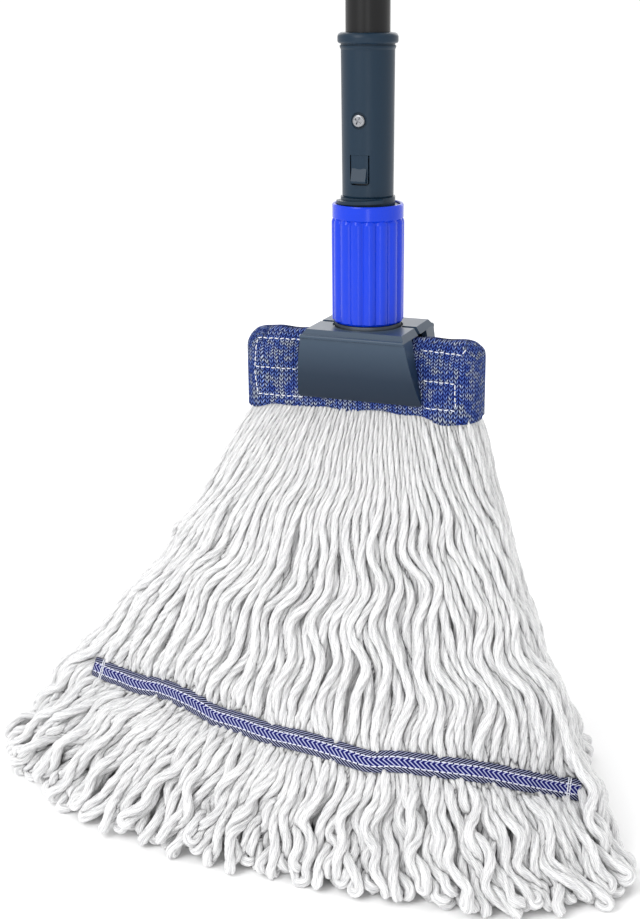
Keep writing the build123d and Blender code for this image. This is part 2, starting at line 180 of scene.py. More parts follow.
def line_travel(points):
    """How far along a line each of its points is."""
    return np.concatenate([[0], np.cumsum(np.linalg.norm(np.diff(points, axis=0), axis=1))])


def along(points, shares):
    """Points at the given shares of a line's length."""
    points = np.array(points, float)
    reached = line_travel(points)
    wanted = np.asarray(shares) * reached[-1]
    return np.stack([np.interp(wanted, reached, part) for part in points.T], -1)


def smooth_line(points, rounds):
    for _ in range(rounds):
        points[1:-1] += 0.5 * ((points[:-2] + points[2:]) / 2 - points[1:-1])
    return points


def waves(share, travelled, phase, period):
    """Sideways sway, in step between neighbours, that drifts slowly across the mop."""
    drift = 0.25 * np.sin(4.4 * share + phase) + 0.12 * np.sin(9.5 * share + 2.1 * phase)
    return np.sin(2 * math.pi * (travelled / period + drift))


def leg(share, row, side, seed):
    """One strand from the band to the floor, as LEG_POINTS points. share is 0 to 1 across the mop."""
    chance = np.random.default_rng(seed)
    rim = along(FRONT_RIM if side < 0 else REAR_RIM, [share])[0]
    jitter = 0.0009 * (chance.random() - 0.5)
    top = np.array([HALF_BAND * (2 * share - 1) + jitter, side * (0.0108 - 0.0025 * row)])
    skin = row % 2
    inset = 1.0 - 0.030 * skin - 0.02 * row * chance.random()
    lift = 0.032 - 0.007 * row + 0.016 * max(0.0, 1 - share / 0.16)
    fall = np.linspace(0, 1, 40)
    out = fall - 0.095 * np.sin(math.pi * fall)
    height = BAND_BOTTOM + (lift - BAND_BOTTOM) * fall
    reach = inset - 0.10
    tail = 0.10 + 0.05 * (chance.random() - 0.65)
    line = np.stack([out * reach, height], 1)
    end = np.array([[reach + tail, 0.0035 + 0.35 * lift * chance.random()]])
    line = smooth_line(np.concatenate([line, end]), 2)
    flat = top + (rim - top) * line[:, :1]
    points = np.concatenate([flat, line[:, 1:]], 1)
    # the skin's depth: rows lie behind each other at the band, and in two layers lower down
    inward = np.array([-rim[0] * 0.3, -rim[1], 0.0])
    inward = inward / max(np.linalg.norm(inward), 1e-6)
    points += inward * (0.0030 * skin * np.clip(line[:, :1] / 0.3, 0, 1))
    return along(points, np.linspace(0, 1, LEG_POINTS))


def sway(points, share, side, group):
    """Adds the waves that the yarn keeps from its packing."""
    travelled = line_travel(points)
    chance = np.random.default_rng(900 + group)
    forward = unit(np.gradient(points, axis=0))
    across = np.cross(forward, np.array([0, 0, 1.0]))
    across /= np.maximum(np.linalg.norm(across, axis=1)[:, None], 1e-6)
    out = np.cross(across, forward)
    grow = np.clip((travelled - 0.022) / 0.075, 0, 1)
    ease = 1 - 0.35 * np.clip((travelled - 0.20) / 0.03, 0, 1)
    fringe = np.clip((travelled - 0.215) / 0.025, 0, 1)
    phase = 1.1 if side < 0 else 3.4

    def own(period, spread):
        """A wave of this strand alone."""
        return np.sin(2 * math.pi * (travelled / (period + spread * chance.random()) + chance.random()))

    wide = 0.72 * waves(share, travelled, phase, 0.058) + 0.28 * waves(share, travelled, phase + 2, 0.037)
    wide *= 0.0044 * grow * ease
    wide += 0.0011 * grow * own(0.030, 0.02)
    wide += 0.0030 * grow * own(0.085, 0.05)
    wide += 0.0030 * fringe * own(0.024, 0.010)
    deep = 0.0018 * grow * waves(1.7 * share, travelled, phase + 4, 0.066)
    deep += 0.0022 * fringe * own(0.026, 0.012)
    return points + across * wide[:, None] + out * deep[:, None]


def loop_lines():
    """Every loop of yarn as one line: down, round its tip and back up. Returns (loops, points, 3)."""
    loops = []
    for side in (-1, 1):
        count = COLUMNS * ROWS
        order = np.array([0, 2, 1, 3, 4])
        for k in range(count // 2):
            legs = []
            for n in (2 * k, 2 * k + 1):
                share = (n + 0.5) / count
                legs.append((share, order[n % ROWS]))
            middle = sum(s for s, _ in legs) / 2
            seed = 5000 + 10 * k + (side > 0) * 100000
            a, b = (leg(middle + 0.9 * (s - middle), row, side, seed) for s, row in legs)
            a, b = (sway(p, middle, side, k + 500 * (side > 0)) for p in (a, b))
            a, b = entwine(a, b, np.random.default_rng(seed + 7))
            loops.append(join_tip(a, b))
    return np.array(loops)


def entwine(a, b, chance):
    """Draws a loop's two legs together and, in the fringe, turns them round each other."""
    share = np.linspace(0, 1, len(a))
    middle, half = (a + b) / 2, (b - a) / 2
    heading = unit(np.gradient(middle, axis=0))
    half -= (half * heading).sum(1)[:, None] * heading
    wide = np.linalg.norm(half, axis=1)[:, None]
    half /= np.maximum(wide, 1e-6)
    other = np.cross(heading, half)
    draw = np.clip((share - 0.1) / 0.2, 0, 1)[:, None]
    wide = wide + draw * (YARN_LOW_R * 0.98 - wide)
    turns = chance.choice([-1, 1]) * (0.5 + 0.9 * chance.random())
    turn = 2 * math.pi * turns * np.clip((share - 0.70) / 0.30, 0, 1) ** 1.3
    rock = 0.5 * np.sin(2 * math.pi * (2.2 * share + chance.random()))
    turn = (turn + rock * np.clip((share - 0.12) / 0.2, 0, 1))[:, None]
    half = half * np.cos(turn) + other * np.sin(turn)
    return middle - half * wide, middle + half * wide


def join_tip(a, b):
    heading = a[-1] - a[-4] + b[-1] - b[-4]
    heading /= np.linalg.norm(heading)
    middle, half = (a[-1] + b[-1]) / 2, (b[-1] - a[-1]) / 2
    wide = max(np.linalg.norm(half), 0.0032)
    half *= wide / max(np.linalg.norm(half), 1e-6)
    turn = np.linspace(0, math.pi, TIP_POINTS + 2)[1:-1]
    tip = middle - half * np.cos(turn)[:, None] + heading * wide * np.sin(turn)[:, None]
    return np.concatenate([a, tip, b[::-1]])


# ---------------------------------------------------------------- tail bands: where they run
FRONT_BELT = [(-0.171, -0.0435, 0.0632), (-0.159, -0.0475, 0.0625), (-0.133, -0.0553, 0.0617),
              (-0.117, -0.0596, 0.0645), (-0.099, -0.0668, 0.0654), (-0.082, -0.0735, 0.0643),
              (-0.069, -0.0775, 0.0616), (-0.051, -0.0828, 0.0629), (-0.028, -0.0884, 0.0620),
              (-0.007, -0.0922, 0.0636), (0.015, -0.0951, 0.0627), (0.032, -0.0968, 0.0610),
              (0.037, -0.0968, 0.0606), (0.050, -0.0960, 0.0635), (0.075, -0.0902, 0.0615),
              (0.097, -0.0805, 0.0575), (0.117, -0.0690, 0.0500), (0.137, -0.0559, 0.0424),
              (0.148, -0.0493, 0.0388)]
REAR_BELT = [(-0.164, 0.044, 0.060), (-0.110, 0.064, 0.062), (-0.060, 0.079, 0.064), (-0.010, 0.086, 0.063),
             (0.035, 0.084, 0.061), (0.072, 0.074, 0.058), (0.104, 0.050, 0.056)]
BELT_WIDTH = 0.0124
BELT_THICK = 0.0010
BELT_SAMPLES = 240
MIDDLE_HALF = 0.0027    # half the width of the herringbone middle


def belt_frame(points):
    """A tail band's centreline, its direction down the yarn and its outward direction, along it."""
    side = 1 if points[0][1] > 0 else -1
    control = np.array(points)
    line = smooth_line(along(control, np.linspace(0, 1, BELT_SAMPLES)), 12)
    forward = unit(np.gradient(line, axis=0))
    across = (line[:, 0] - control[0, 0]) / (control[-1, 0] - control[0, 0])
    top = np.full((BELT_SAMPLES, 3), (0.0, side * 0.010, BAND_BOTTOM))
    top[:, 0] = HALF_BAND * (2 * across - 1)
    down = line - top
    down[:, :2] *= 1.15
    down -= (down * forward).sum(1)[:, None] * forward
    down = unit(down)
    out = np.cross(down, forward)
    out *= np.sign(out[:, 1] * side)[:, None]
    return line, down, out


def press_under(points, thick, belt):
    """Keeps the yarn behind a tail band that is sewn over it."""
    line, down, out = belt
    side = np.sign(line[0, 1])
    at = np.clip(np.interp(points[:, 0], line[:, 0], np.arange(len(line))), 0, len(line) - 1).astype(int)
    away = points - line[at]
    proud = (away * out[at]).sum(1) + thick * 1.12 + BELT_THICK * 0.3
    inside = np.abs((away * down[at]).sum(1)) < BELT_WIDTH * 0.5 + 0.0025
    inside &= (proud > 0) & (proud < 0.03) & (points[:, 1] * side > 0)
    inside &= (points[:, 0] > line[0, 0] - 0.002) & (points[:, 0] < line[-1, 0] + 0.002)
    points[inside] -= out[at[inside]] * proud[inside][:, None]


# ---------------------------------------------------------------- yarn: settling
def near_pairs(points, reach):
    """Pairs of points nearer than about reach, by sorting them into cells."""
    cell = np.floor((points - points.min(0)) / reach).astype(np.int64) + 1
    size = cell.max(0) + 2
    key = (cell[:, 0] * size[1] + cell[:, 1]) * size[2] + cell[:, 2]
    order = np.argsort(key, kind="stable")
    ranked = key[order]
    found_a, found_b = [], []
    for dx in (0, 1):
        for dy in (-1, 0, 1):
            for dz in (-1, 0, 1):
                shift = (dx * size[1] + dy) * size[2] + dz
                if shift < 0:
                    continue
                low = np.searchsorted(ranked, ranked + shift, "left")
                high = np.searchsorted(ranked, ranked + shift, "right")
                count = high - low
                a = np.repeat(np.arange(len(ranked)), count)
                first = np.repeat(np.cumsum(count) - count, count)
                b = np.arange(len(a)) - first + np.repeat(low, count)
                if shift == 0:
                    keep = b > a
                    a, b = a[keep], b[keep]
                found_a.append(order[a])
                found_b.append(order[b])
    a, b = np.concatenate(found_a), np.concatenate(found_b)
    keep = ((points[a] - points[b]) ** 2).sum(1) < reach * reach
    return a[keep], b[keep]


def gather(index, values, size):
    return np.stack([np.bincount(index, values[:, k], size) for k in range(3)], 1)


def settle(lines, radius, rounds, belts):
    """Pushes strands out of each other and onto the floor, and keeps their lengths and bends."""
    loops, count, _ = lines.shape
    goal = lines.reshape(-1, 3).copy()
    points = goal.copy()
    thick = np.tile(radius, loops)
    owner = np.repeat(np.arange(loops), count)
    place = np.tile(np.arange(count), loops)
    rest = np.linalg.norm(np.diff(lines, axis=1), axis=2)
    bend_goal = (lines[:, :-2] + lines[:, 2:]) / 2 - lines[:, 1:-1]
    held = np.zeros((loops, count), bool)
    held[:, :2] = held[:, -2:] = True
    held = held.reshape(-1)
    for n in range(rounds):
        if n % 5 == 0:
            a, b = near_pairs(points, 2.0 * thick.max() + 0.0012)
            keep = (owner[a] != owner[b]) | (np.abs(place[a] - place[b]) > 3)
            a, b = a[keep], b[keep]
        apart = points[a] - points[b]
        far = np.linalg.norm(apart, axis=1)
        over = thick[a] + thick[b] - far
        hit = over > 0
        push = apart[hit] * (0.5 * over[hit] / np.maximum(far[hit], 1e-6))[:, None]
        total = gather(a[hit], push, len(points)) - gather(b[hit], push, len(points))
        times = np.bincount(a[hit], minlength=len(points)) + np.bincount(b[hit], minlength=len(points))
        points += 0.9 * total / np.maximum(times, 1)[:, None] * np.minimum(times, 2)[:, None] ** 0.5
        grid = points.reshape(loops, count, 3)
        for start in (0, 1):
            left, right = grid[:, start:-1:2], grid[:, start + 1::2]
            size = min(left.shape[1], right.shape[1])
            left, right = left[:, :size], right[:, :size]
            gap = right - left
            length = np.linalg.norm(gap, axis=2)
            fix = gap * (0.5 * (length - rest[:, start::2][:, :size]) / np.maximum(length, 1e-6))[..., None]
            left += fix
            right -= fix
        grid[:, 1:-1] += 0.35 * ((grid[:, :-2] + grid[:, 2:]) / 2 - grid[:, 1:-1] - bend_goal)
        points = grid.reshape(-1, 3)
        points += (0.035 if n < rounds * 0.7 else 0.01) * (goal - points)
        for belt in belts:
            press_under(points, thick, belt)
        points[:, 2] = np.maximum(points[:, 2], thick)
        points[held] = goal[held]
    return points.reshape(loops, count, 3)


def leg_radius():
    share = np.linspace(0, 1, LEG_POINTS)
    one = YARN_TOP_R + (YARN_LOW_R - YARN_TOP_R) * np.clip(share / 0.55, 0, 1)
    return np.concatenate([one, np.full(TIP_POINTS, YARN_LOW_R), one[::-1]])


def through_splines(lines, radius):
    """The lines read back from NURBS splines through them, with each point's radius."""
    curve = bpy.data.curves.new("yarn_route", "CURVE")
    curve.dimensions = "3D"
    curve.resolution_u = 2
    for line in lines:
        spline = curve.splines.new("NURBS")
        spline.points.add(len(line) - 1)
        spline.points.foreach_set("co", np.concatenate([line, np.ones((len(line), 1))], 1).ravel())
        spline.order_u = 3
        spline.use_endpoint_u = True
    holder = bpy.data.objects.new("yarn_route", curve)
    mesh = bpy.data.meshes.new_from_object(holder)
    points = np.empty(len(mesh.vertices) * 3, np.float32)
    mesh.vertices.foreach_get("co", points)
    bpy.data.meshes.remove(mesh)
    bpy.data.curves.remove(curve)
    points = points.reshape(len(lines), -1, 3).astype(float)
    share = np.linspace(0, 1, points.shape[1])
    return points, np.interp(share, np.linspace(0, 1, len(radius)), radius)


# ---------------------------------------------------------------- yarn: the twisted strands
PLIES = 4
PLY_POINTS = 4
RING = PLIES * PLY_POINTS
TWIST_PITCH = 0.046
PLY_SHAPE = np.array([1.06, 1.0, 0.80, 1.0])    # a ply's four points, as shares of the strand's radius
FLOOR_GAP = 0.0002
CREVICE_REACH = 0.0078
CREVICE_OPEN = 0.0009
PAIR_BATCH = 200000


def twisted_rings(lines, radius):
    """Ring vertices of a four-ply strand round each line, and how far along the line each ring is."""
    count, steps, _ = lines.shape
    tangent = unit(np.gradient(lines, axis=1))
    side = unit(np.cross(tangent[:, 0], [0.0, 1.0, 0.0]))
    sides = np.empty_like(lines)
    for n in range(steps):
        side = unit(side - (side * tangent[:, n]).sum(1, keepdims=True) * tangent[:, n])
        sides[:, n] = side
    other = np.cross(tangent, sides)
    step = np.linalg.norm(np.diff(lines, axis=1), axis=2)
    travelled = np.concatenate([np.zeros((count, 1)), np.cumsum(step, axis=1)], 1)
    start = RNG.random((count, 1)) * 2 * math.pi
    turn = start + 2 * math.pi * travelled / TWIST_PITCH
    angle = turn[..., None] + np.arange(RING) * (2 * math.pi / RING)
    size = np.tile(PLY_SHAPE, PLIES) * radius[None, :, None]
    swell = 1 + 0.05 * np.sin(2 * math.pi * travelled / 0.017 + start)
    size = size * swell[..., None]
    rings = lines[:, :, None] + (np.cos(angle) * size)[..., None] * sides[:, :, None]
    rings += (np.sin(angle) * size)[..., None] * other[:, :, None]
    rings[..., 2] = np.maximum(rings[..., 2], FLOOR_GAP)
    return rings, travelled


def crevices(rings, lines, radius):
    """For each ring vertex, 1 where another strand lies against it and 0 where it is open: the mask of the
    painted shade between strands.
    """
    loops, steps, _ = lines.shape
    centres = lines.reshape(-1, 3)
    flat = rings.reshape(-1, RING, 3)
    owner = np.repeat(np.arange(loops), steps)
    place = np.tile(np.arange(steps), loops)
    thick = np.tile(radius, loops)
    gap = np.full(flat.shape[:2], 0.01)
    a, b = near_pairs(centres, CREVICE_REACH)
    keep = (owner[a] != owner[b]) | (np.abs(place[a] - place[b]) > 7)
    a, b = np.concatenate([a[keep], b[keep]]), np.concatenate([b[keep], a[keep]])
    order = np.argsort(a, kind="stable")
    a, b = a[order], b[order]
    for first in range(0, len(a), PAIR_BATCH):
        i, j = a[first:first + PAIR_BATCH], b[first:first + PAIR_BATCH]
        far = np.linalg.norm(flat[i] - centres[j][:, None], axis=2) - thick[j][:, None]
        far += np.where(owner[i] == owner[j], 0.00065, 0.0)[:, None]
        starts = np.concatenate([[0], np.flatnonzero(np.diff(i)) + 1])
        least = np.minimum.reduceat(far, starts, axis=0)
        gap[i[starts]] = np.minimum(gap[i[starts]], least)
    return np.clip(1 - gap / CREVICE_OPEN, 0, 1).reshape(loops, steps, RING)


def tube_mesh(name, rings, travelled, crevice_shade, material):
    """One mesh of the given loops' rings, capped at both ends, with the attributes its material reads."""
    loops, steps = rings.shape[:2]
    ids = np.arange(loops * steps * RING).reshape(loops, steps, RING)
    nxt = np.roll(ids, -1, axis=2)
    quads = np.stack([ids[:, :-1], nxt[:, :-1], nxt[:, 1:], ids[:, 1:]], -1).reshape(-1, 4)
    caps = [list(ids[k, 0, ::-1]) for k in range(loops)] + [list(ids[k, -1]) for k in range(loops)]
    mesh = bpy.data.meshes.new(name)
    mesh.from_pydata(rings.reshape(-1, 3), [], quads.tolist() + caps)
    mesh.polygons.foreach_set("use_smooth", np.ones(len(mesh.polygons), bool))
    # the mask of the painted shade in the ply grooves: 1 at a groove's bottom, 0 on a ply's crest
    groove_shade = np.tile((PLY_SHAPE.max() - PLY_SHAPE) / np.ptp(PLY_SHAPE), PLIES)
    for label, values in (("groove_shade", np.broadcast_to(groove_shade, rings.shape[:3])), ("crevice_shade", crevice_shade)):
        layer = mesh.attributes.new(label, "FLOAT", "POINT")
        layer.data.foreach_set("value", values.astype(np.float32).ravel())
    # where a face corner is on the strand: along it in metres, and round it from 0 to 1 with no seam
    run, turn = np.broadcast_to(travelled[:, :, None], rings.shape[:3]), np.arange(RING) / RING
    corner = np.zeros((len(quads), 4, 3), np.float32)
    corner[..., 0] = np.stack([run[:, :-1], run[:, :-1], run[:, 1:], run[:, 1:]], -1).reshape(-1, 4)
    turns = np.stack([turn, turn + 1 / RING, turn + 1 / RING, turn], -1)
    corner[..., 1] = np.broadcast_to(turns, (loops, steps - 1, RING, 4)).reshape(-1, 4)
    corner[..., 2] = np.repeat(np.arange(loops), len(quads) // loops)[:, None]
    layer = mesh.attributes.new("strand", "FLOAT_VECTOR", "CORNER")
    on_caps = np.zeros(2 * loops * RING * 3, np.float32)
    layer.data.foreach_set("vector", np.concatenate([corner.ravel(), on_caps]))
    return finish_piece(name, mesh, material)


def yarn_material():
    """Cotton: plies with painted shade in their grooves, fine slanting fibres, and painted shade in the gaps
    between strands.
    """
    n = Nodes("yarn_cotton")
    run, turn, loop = n.attribute_parts("strand")
    fuzz = n.noise(n.position(), 700.0, 3.0, 0.65)
    patch = n.noise(n.position(), 45.0, 2.0)
    slant = n.plus(n.times(turn, 16.0), n.times(run, 430.0))
    slant = n.plus(slant, n.times(fuzz, 1.3))
    fibre = n.off_centre(n.math("FRACT", slant))
    fibre = n.times(n.minus(fibre, 0.22), 3.6, clamp=True)
    # thin lines that wander along the strand between its fibres
    round_it = n.plus(n.times(turn, 11.0), n.times(run, 150.0))
    drift = n.add("ShaderNodeCombineXYZ", {0: round_it, 1: n.times(run, 45.0), 2: n.times(loop, 3.7)})
    streak = n.ridge(n.noise(drift.outputs[0], 1.0, 1.0), 13.0)
    base = n.mix(n.times(patch, 0.6), (0.95, 0.95, 0.945, 1), (0.91, 0.91, 0.915, 1))
    # painted shade: the ply grooves are darkened
    base = n.mix(n.times(n.attribute("groove_shade"), 0.18), base, (0.22, 0.22, 0.24, 1))
    base = n.mix(n.times(n.times(fibre, fuzz), 0.80), base, (0.36, 0.36, 0.38, 1))
    base = n.mix(n.times(streak, 0.40), base, (0.32, 0.32, 0.34, 1))
    # painted shade: the yarn is darkened almost to black where another strand lies against it
    gap = n.math("POWER", n.attribute("crevice_shade"), 4.0)
    base = n.mix(n.times(gap, 0.85), base, (0.09, 0.09, 0.10, 1))
    n.set(Base_Color=base, Roughness=0.95, Specular_IOR_Level=0.15)
    n.set(Subsurface_Weight=0.9, Subsurface_Scale=0.004, Subsurface_Radius=(1.0, 1.0, 1.0))
    hollow = n.plus(n.times(fibre, 0.5), n.times(streak, 0.8))
    n.bump(n.minus(n.times(fuzz, 0.6), hollow), 0.8, 0.0006)
    return n.material


CORDS_DECLARED = 40
LOOPS_PER_PIECE = 24
SETTLE_ROUNDS = 110


def make_yarn():
    lines = loop_lines()
    radius = leg_radius()
    rounds = SETTLE_ROUNDS
    lines = settle(lines, radius, rounds, [belt_frame(FRONT_BELT), belt_frame(REAR_BELT)])
    lines, radius = through_splines(lines, radius * YARN_SWELL)
    rings, travelled = twisted_rings(lines, radius)
    crevice_shade = crevices(rings, lines, radius)
    material = yarn_material()

    def piece_of(name, chosen):
        return tube_mesh(name, rings[chosen], travelled[chosen], crevice_shade[chosen], material)

    reach = np.abs(lines[..., 0]).max(1) + np.linalg.norm(lines[..., :2], axis=2).max(1)
    order = np.argsort(-reach, kind="stable")
    outer, rest = order[:CORDS_DECLARED], np.sort(order[CORDS_DECLARED:])
    for n, k in enumerate(outer):
        piece = piece_of(f"yarn_loop_{n:02d}", [k])
    front = lines[rest, 0, 1] < 0
    for label, chosen in (("front", rest[front]), ("rear", rest[~front])):
        for n in range(0, len(chosen), LOOPS_PER_PIECE):
            piece = piece_of(f"yarn_{label}_{n // LOOPS_PER_PIECE}", chosen[n:n + LOOPS_PER_PIECE])
            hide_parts(f"yarn_{label}")


# ---------------------------------------------------------------- cloth
BAND_HALF = 0.0705
BAND_DEEP = 0.0130
BAND_LOW = 0.2400
BAND_TOP = 0.2860
BAND_LEFT_MORE = 0.0045    # the left end is fuller than the right
BAND_BEND = 0.0085
BAND_CORNERS = (0.0110, 0.0080)
BAND_SAMPLES = 210
FOLD = 0.014
CLOTH_THICK = 0.0018
JAW_HALF = 0.041


def add_object(name, points, faces, material, weave=None):
    mesh = bpy.data.meshes.new(name)
    mesh.from_pydata([tuple(p) for p in points], [], [tuple(f) for f in faces])
    mesh.polygons.foreach_set("use_smooth", np.ones(len(mesh.polygons), bool))
    if weave is not None:
        layer = mesh.attributes.new("weave", "FLOAT_VECTOR", "POINT")
        layer.data.foreach_set("vector", np.asarray(weave, np.float32).ravel())
    return finish_piece(name, mesh, material)


def grid_faces(rows, columns, closed):
    ids = np.arange(rows * columns).reshape(rows, columns)
    nxt = np.roll(ids, -1, axis=1)
    if not closed:
        ids, nxt = ids[:, :-1], nxt[:, :-1]
    return np.stack([ids[:-1], nxt[:-1], nxt[1:], ids[1:]], -1).reshape(-1, 4)


def band_ring(height):
    """The headband's outline at a height, as points round it."""
    rise = max(0.0, (height - (BAND_TOP - BAND_DEEP)) / BAND_DEEP)
    deep = BAND_DEEP * math.sqrt(max(0.0, 1 - rise ** 2.3))
    ends = []
    for half, corner in zip((BAND_HALF + BAND_LEFT_MORE, BAND_HALF), BAND_CORNERS):
        up = max(0.0, (height - (BAND_TOP - corner)) / corner)
        ends.append(half - corner * (1 - math.sqrt(max(0.0, 1 - min(up, 1) ** 2))))
    bend = max(min(BAND_BEND, deep), 0.0002)
    left, right, deep = ends[0] - bend, ends[1] - bend, deep - bend
    turn = np.linspace(0, math.pi / 2, 12)
    outline = []
    for k, (x, y) in enumerate(((right, deep), (-left, deep), (-left, -deep), (right, -deep))):
        angle = turn + k * math.pi / 2
        outline.append(np.stack([x + bend * np.cos(angle), y + bend * np.sin(angle)], 1))
    outline = np.concatenate([*outline, outline[0][:1]])
    return along(outline, np.linspace(0, 1, BAND_SAMPLES + 1)[:-1])


def band_y(x, height):
    """How far the headband's front stands from the middle plane."""
    ring = band_ring(height)
    front = ring[ring[:, 1] < 0]
    front = front[np.argsort(front[:, 0])]
    return -np.interp(x, front[:, 0], front[:, 1]) + band_puff(x, height)


def band_puff(x, height):
    """The cloth's swelling between the jaws and the ends."""
    free = np.clip((np.abs(x) - JAW_HALF) / 0.010, 0, 1) * np.clip((BAND_HALF - np.abs(x)) / 0.012, 0, 1)
    rows = np.cos((height - 0.255) / 0.0165 * 2 * math.pi)
    return free * (0.0007 + 0.0005 * rows)


def make_headband():
    straight = np.linspace(BAND_LOW, BAND_TOP - FOLD, 18)
    folded = BAND_TOP - FOLD + FOLD * np.sin(np.linspace(0, math.pi / 2, 17))[1:]
    heights = np.concatenate([straight, folded])
    points, weave = [], []
    for height in heights:
        x, y = band_ring(height).T
        y = y + np.sign(y) * band_puff(x, height) * (np.abs(y) > 0.004)
        low = np.clip(1 - (height - BAND_LOW) / 0.012, 0, 1)
        hem = 0.0011 * np.sin(x * 95 + 0.6 * np.sign(y)) + 0.0009 * np.sin(x * 210)
        hem = hem + 0.0022 * np.clip(1 - (x / 0.045) ** 2, 0, 1)
        z = height + low * hem + 0.0003 * np.sin(x * 330 + height * 400)
        points.append(np.stack([x, y, z], 1))
        past_bend = np.abs(x) > BAND_HALF - BAND_BEND
        round_it = x + np.where(past_bend, np.sign(x) * (BAND_DEEP - np.abs(y)), 0)
        over = max(0.0, height - (BAND_TOP - FOLD))
        weave.append(np.stack([round_it, np.full(len(x), height + 0.35 * over), np.sign(y)], 1))
    rows, columns = len(heights), len(points[0])
    faces = [tuple(f) for f in grid_faces(rows, columns, True)]
    faces.append(tuple(np.arange(columns) + (rows - 1) * columns))
    points, weave = np.concatenate(points), np.concatenate(weave)
    band = add_object("headband_cloth", points, faces, knit_material(), weave)
    solid = band.modifiers.new("thickness", "SOLIDIFY")
    solid.thickness = CLOTH_THICK
    solid.offset = -1
    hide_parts("headband")
    return band


THREAD_R = 0.00034


def thread(start, end, lift, out):
    """Points and faces of one stitch: a short thread that rises from the cloth and goes back into it."""
    start, end, out = (np.asarray(v, float) for v in (start, end, out))
    shares = np.array([0, 0.12, 0.35, 0.65, 0.88, 1.0])
    heights = np.array([-0.6, 0.35, 1.0, 1.0, 0.35, -0.6]) * lift
    middle = start + (end - start) * shares[:, None] + out * heights[:, None]
    forward = (end - start) / np.linalg.norm(end - start)
    side = np.cross(forward, out)
    angle = np.arange(6) * math.pi / 3
    ring = np.cos(angle)[:, None] * side + np.sin(angle)[:, None] * out
    points = (middle[:, None] + ring[None] * THREAD_R).reshape(-1, 3)
    faces = [tuple(f) for f in grid_faces(6, 6, True)]
    faces += [tuple(range(5, -1, -1)), tuple(range(30, 36))]
    return points, faces


def join_threads(name, threads, material):
    points, faces = [], []
    for some, flat in threads:
        offset = sum(len(p) for p in points)
        points.append(some)
        faces += [tuple(int(i) + offset for i in f) for f in flat]
    return add_object(name, np.concatenate(points), faces, material)


# The headband's sewn lines, as (x, height) runs on its front. The rear has the same.
SEWN = [[(-0.0660, 0.2805), (-0.0375, 0.2812)], [(-0.0655, 0.2800), (-0.0672, 0.2625)],
        [(-0.0670, 0.2632), (-0.0400, 0.2637)], [(-0.0672, 0.2610), (-0.0655, 0.2468)],
        [(-0.0655, 0.2466), (-0.0360, 0.2470)], [(0.0375, 0.2808), (0.0610, 0.2800)],
        [(0.0612, 0.2803), (0.0632, 0.2835)], [(0.0385, 0.2635), (0.0578, 0.2633)],
        [(0.0578, 0.2630), (0.0586, 0.2486)], [(0.0400, 0.2472), (0.0586, 0.2474)]]
STITCH = 0.0024
STITCH_GAP = 0.0011
STITCH_SHARE = STITCH / (STITCH + STITCH_GAP)


def make_band_stitching(material):
    threads = []
    for side in (-1, 1):
        for (x0, z0), (x1, z1) in SEWN:
            length = math.hypot(x1 - x0, z1 - z0)
            count = max(1, round(length / (STITCH + STITCH_GAP)))
            for n in range(count):
                ends = []
                for share in ((n + 0.10) / count, (n + 0.10 + STITCH_SHARE) / count):
                    x, z = x0 + (x1 - x0) * share, z0 + (z1 - z0) * share
                    wander = 0.00025 * math.sin(900 * (x + z))
                    ends.append((x, side * (band_y(x, z) + 0.0001), z + wander))
                tilt = max(0.0, (ends[0][2] - 0.274) / 0.014)
                out = np.array([0, side * (1 - 0.35 * tilt), 0.6 * tilt])
                threads.append(thread(ends[0], ends[1], 0.0004, out / np.linalg.norm(out)))
    return join_threads("headband_stitching", threads, material)


def make_belt(name, points, node, material, white):
    line, down, out = belt_frame(points)
    profile = np.array([-0.5, -0.46, -0.33, -0.17, 0, 0.17, 0.33, 0.46, 0.5]) * BELT_WIDTH
    crown = np.array([0.15, 0.8, 1.0, 1.0, 1.0, 1.0, 1.0, 0.8, 0.15]) * BELT_THICK
    travelled = line_travel(line)
    ripple = 0.0004 * np.sin(travelled * 190) + 0.0003 * np.sin(travelled * 410 + 1)
    proud = crown[None, :] + ripple[:, None]
    face = line[:, None] + down[:, None] * profile[None, :, None] + out[:, None] * proud[..., None]
    back = face[:, ::-1] - out[:, None] * (crown[::-1] * 0.95 + 0.0001)[None, :, None]
    rings = np.concatenate([face, back], 1)
    rows, columns = rings.shape[:2]
    faces = [tuple(f) for f in grid_faces(rows, columns, True)]
    faces += [tuple(range(columns - 1, -1, -1)), tuple(range((rows - 1) * columns, rows * columns))]
    across = np.concatenate([profile, profile[::-1]])
    weave = np.zeros((rows, columns, 3))
    weave[..., 0], weave[..., 1] = travelled[:, None], across
    belt = add_object(name, rings.reshape(-1, 3), faces, material, weave)
    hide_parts(node)
    threads = []
    for near in (0.0072, 0.0088, travelled[-1] - 0.0072, travelled[-1] - 0.0088):
        k = int(np.argmin(np.abs(travelled - near)))
        base = line[k] + out[k] * (BELT_THICK + 0.0002)
        for shares in ((-0.52, -0.18), (-0.17, 0.17), (0.18, 0.52)):
            start, end = (base + down[k] * share * BELT_WIDTH for share in shares)
            threads.append(thread(start, end, 0.0003, out[k]))
    tack = join_threads(name + "_tacks", threads, white)


